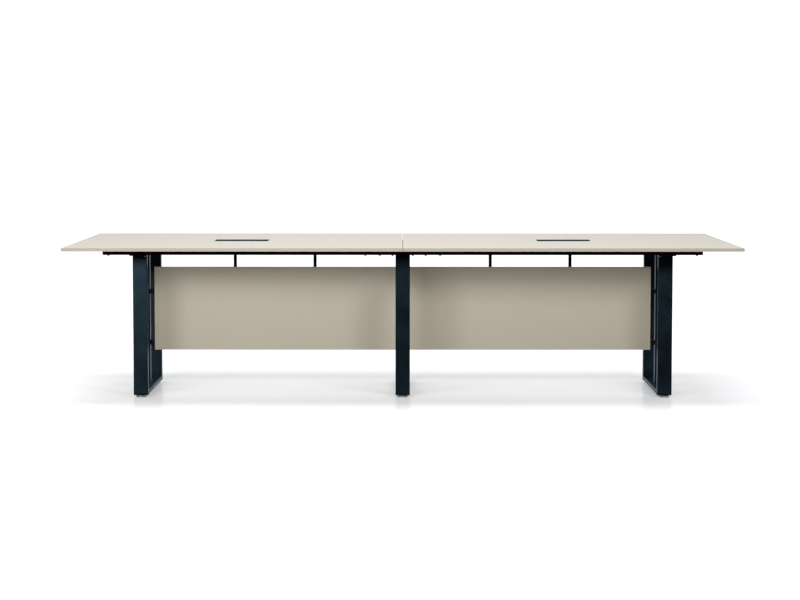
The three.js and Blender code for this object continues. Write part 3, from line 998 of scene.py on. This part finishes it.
@dataclass
class Softbox:
    """A large soft lamp aimed at the table.

    Attributes:
        name: name of the lamp.
        azimuth: degrees from the front, positive to the right.
        elevation: degrees over the floor.
        distance: metres from the aim.
        size: width and height in metres.
        power: watts.
        aim: point that it looks at.
    """

    name: str
    azimuth: float
    elevation: float
    distance: float
    size: tuple[float, float]
    power: float
    aim: tuple[float, float, float] = (0.0, 0.0, 0.4)

    def build(self) -> None:
        """Hang the lamp."""
        turn, rise = math.radians(self.azimuth), math.radians(self.elevation)
        away = Vector((math.sin(turn) * math.cos(rise), -math.cos(turn) * math.cos(rise), math.sin(rise)))
        lamp = bpy.data.lights.new(self.name, "AREA")
        lamp.shape = "RECTANGLE"
        lamp.size, lamp.size_y = self.size
        lamp.energy = self.power
        holder = bpy.data.objects.new(self.name, lamp)
        holder.location = Vector(self.aim) + self.distance * away
        holder.rotation_euler = away.to_track_quat("Z", "Y").to_euler()
        holder.visible_camera = False
        bpy.context.scene.collection.objects.link(holder)
        LOG.info("hung %s", self.name)


@dataclass
class Studio:
    """White floor, a hard-lit white wall behind the table, a dark room behind the camera, and three softboxes.

    Attributes:
        sheet_half: half the length and depth of the oval sheet that the picture shows under the table.
        floor_reach: half the width of the floor round it.
        floor_drop: how far that floor lies under the sheet, so that the sheet isn't lit by a floor at its own level.
        paper_start: front edge of the lit floor along Y.
        backdrop_radius: radius of the white surroundings, which only the picture shows.
        horizon_light: brightness of the foot of the wall behind the table.
        wall_light: brightness of the wall over it.
        ceiling_light: brightness of the ceiling.
        lamps: the softboxes.
    """

    sheet_half: tuple[float, float] = (2.6, 2.1)
    floor_reach: float = 60.0
    floor_drop: float = 0.001
    paper_start: float = -0.42
    backdrop_radius: float = 55.0
    horizon_light: float = 1.0
    wall_light: float = 2.17
    ceiling_light: float = 0.0
    lamps: tuple[Softbox, ...] = (
        Softbox("left_softbox", -24.9, 13.9, 4.64, (2.28, 0.57), 122.0),
        Softbox("right_softbox", 25.2, 18.9, 4.97, (1.68, 0.61), 90.0),
        Softbox("overhead_softbox", 0.0, 89.0, 4.0, (5.0, 3.0), 232.0, (-0.2, 0.0, 0.7)),
    )

    def build(self) -> None:
        """Lay the floor, light the room and set the picture's tone to plain sRGB."""
        self._lay_floor()
        self._hang_backdrop()
        self._light_room()
        for lamp in self.lamps:
            lamp.build()
        bpy.context.scene.view_settings.view_transform = "Standard"

    def _lay_floor(self) -> None:
        """Lay the sheet that the picture shows, the floor that lights the table and what its steel mirrors."""
        room, start = self.floor_reach, self.paper_start
        self._lay_sheet()
        self._lay_strip("studio_floor", "diffuse", FLOOR_PAINT, (-room, room))
        self._lay_strip("studio_floor_lit", "glossy", FLOOR_ACRYLIC, (start, room))
        # The dark strip in front is painted shade for the unlit floor there, shown only in the steel's reflections
        self._lay_strip("studio_floor_unlit", "glossy", DARK_FLOOR, (-room, start))

    def _lay_sheet(self) -> None:
        """Lay the oval sheet under the feet, which ends where its light is still full."""
        mesh = bpy.data.meshes.new("studio_sheet")
        half_x, half_y = self.sheet_half
        rim = squircle(half_x / MM, half_y / MM, 2.0, 96)
        mesh.from_pydata([(x, y, 0.0) for x, y in rim], [], [range(len(rim))])
        mesh.materials.append(FLOOR_ACRYLIC.material())
        self._set_stage(bpy.data.objects.new("studio_sheet", mesh), "camera")

    def _lay_strip(self, name: str, seen_by: str, finish: Finish, span: tuple[float, float]) -> None:
        """Lay one strip of floor across the room, just under the sheet.

        Args:
            name: name of the strip.
            seen_by: kind of ray that meets it.
            finish: its finish.
            span: its near and far edges along Y.
        """
        near, far = span
        reach, level = self.floor_reach, -self.floor_drop
        mesh = bpy.data.meshes.new(name)
        corners = [(-reach, near, level), (reach, near, level), (reach, far, level), (-reach, far, level)]
        mesh.from_pydata(corners, [], [(0, 1, 2, 3)])
        mesh.materials.append(finish.material())
        self._set_stage(bpy.data.objects.new(name, mesh), seen_by)

    def _hang_backdrop(self) -> None:
        """Put white surroundings round everything that only the camera sees, so they light nothing."""
        shell = bmesh.new()
        bmesh.ops.create_icosphere(shell, subdivisions=4, radius=self.backdrop_radius)
        mesh = bpy.data.meshes.new("studio_backdrop")
        shell.to_mesh(mesh)
        shell.free()
        mesh.materials.append(WALL_ACRYLIC.material())
        self._set_stage(bpy.data.objects.new("studio_backdrop", mesh), "camera")

    def _set_stage(self, scenery: bpy.types.Object, seen_by: str) -> None:
        """Put a piece of scenery up for one kind of ray.

        Args:
            scenery: floor or backdrop object.
            seen_by: kind of ray that meets it.
        """
        bpy.context.scene.collection.objects.link(scenery)
        for ray in ("camera", "diffuse", "glossy", "transmission", "volume_scatter", "shadow"):
            setattr(scenery, f"visible_{ray}", ray == seen_by)
        LOG.info("set up %s", scenery.name)

    def _light_room(self) -> None:
        """Make the surroundings: a bright wall that fades overhead and towards the camera's end of the room."""
        world = bpy.data.worlds.new("studio_room")
        world.use_nodes = True
        tree = world.node_tree
        tree.nodes.clear()
        place = add_node(tree, "ShaderNodeTexCoord")
        axes = add_node(tree, "ShaderNodeSeparateXYZ", {"Vector": place.outputs["Generated"]})
        behind = add_node(tree, "ShaderNodeMapRange", {
            "Value": axes.outputs["Y"], "From Min": -0.35, "From Max": 0.35,
        }, interpolation_type="SMOOTHSTEP")
        height = add_node(tree, "ShaderNodeMapRange", {
            "Value": axes.outputs["Z"], "From Min": 0.12, "From Max": 0.3,
            "To Min": self.horizon_light, "To Max": self.wall_light,
        }, interpolation_type="SMOOTHSTEP")
        wall = add_node(tree, "ShaderNodeMath", {
            0: behind.outputs["Result"], 1: height.outputs["Result"],
        }, operation="MULTIPLY")
        overhead = add_node(tree, "ShaderNodeMapRange", {
            "Value": axes.outputs["Z"], "From Min": 0.45, "From Max": 0.8,
        }, interpolation_type="SMOOTHSTEP")
        lit = add_node(tree, "ShaderNodeMix", {
            "Factor": overhead.outputs["Result"], "A": wall.outputs["Value"], "B": self.ceiling_light,
        })
        room = add_node(tree, "ShaderNodeBackground", {"Strength": lit.outputs["Result"], "Color": linear("#FFFFFF")})
        add_node(tree, "ShaderNodeOutputWorld", {"Surface": room.outputs["Background"]})
        bpy.context.scene.world = world


@dataclass
class PhotoCamera:
    """The camera where the photograph was taken from.

    Attributes:
        place: position in metres.
        pitch: tilt below the horizon in radians.
        roll: turn about the line of sight in radians, positive where the picture's right side drops.
        focal_px: focal length in pixels of an 800 pixel wide picture.
    """

    place: tuple[float, float, float] = (-0.0134, -11.3103, 1.3427)
    pitch: float = 0.07905
    roll: float = 0.00036
    focal_px: float = 2272.1

    def build(self) -> None:
        """Set the camera up and make it the scene's camera."""
        lens = bpy.data.cameras.new("photo_camera")
        lens.sensor_fit = "HORIZONTAL"
        lens.sensor_width = 36.0
        lens.lens = self.focal_px * lens.sensor_width / 800.0
        lens.clip_end = 500.0
        camera = bpy.data.objects.new("photo_camera", lens)
        camera.location = self.place
        camera.rotation_euler = (math.pi / 2 - self.pitch, -self.roll, 0.0)
        bpy.context.scene.collection.objects.link(camera)
        bpy.context.scene.camera = camera
        LOG.info("set photo_camera")


def main() -> None:
    """Build the camera, the table and the studio."""
    logging.basicConfig(level=logging.INFO, format="%(name)s: %(message)s")
    PhotoCamera().build()
    Tabletop().build()
    LegFrames().build()
    RailSet().build()
    ModestyPanels().build()
    for side in SIDES:
        PowerBox(side).build()
    Studio().build()


if __name__ == "__main__":
    main()
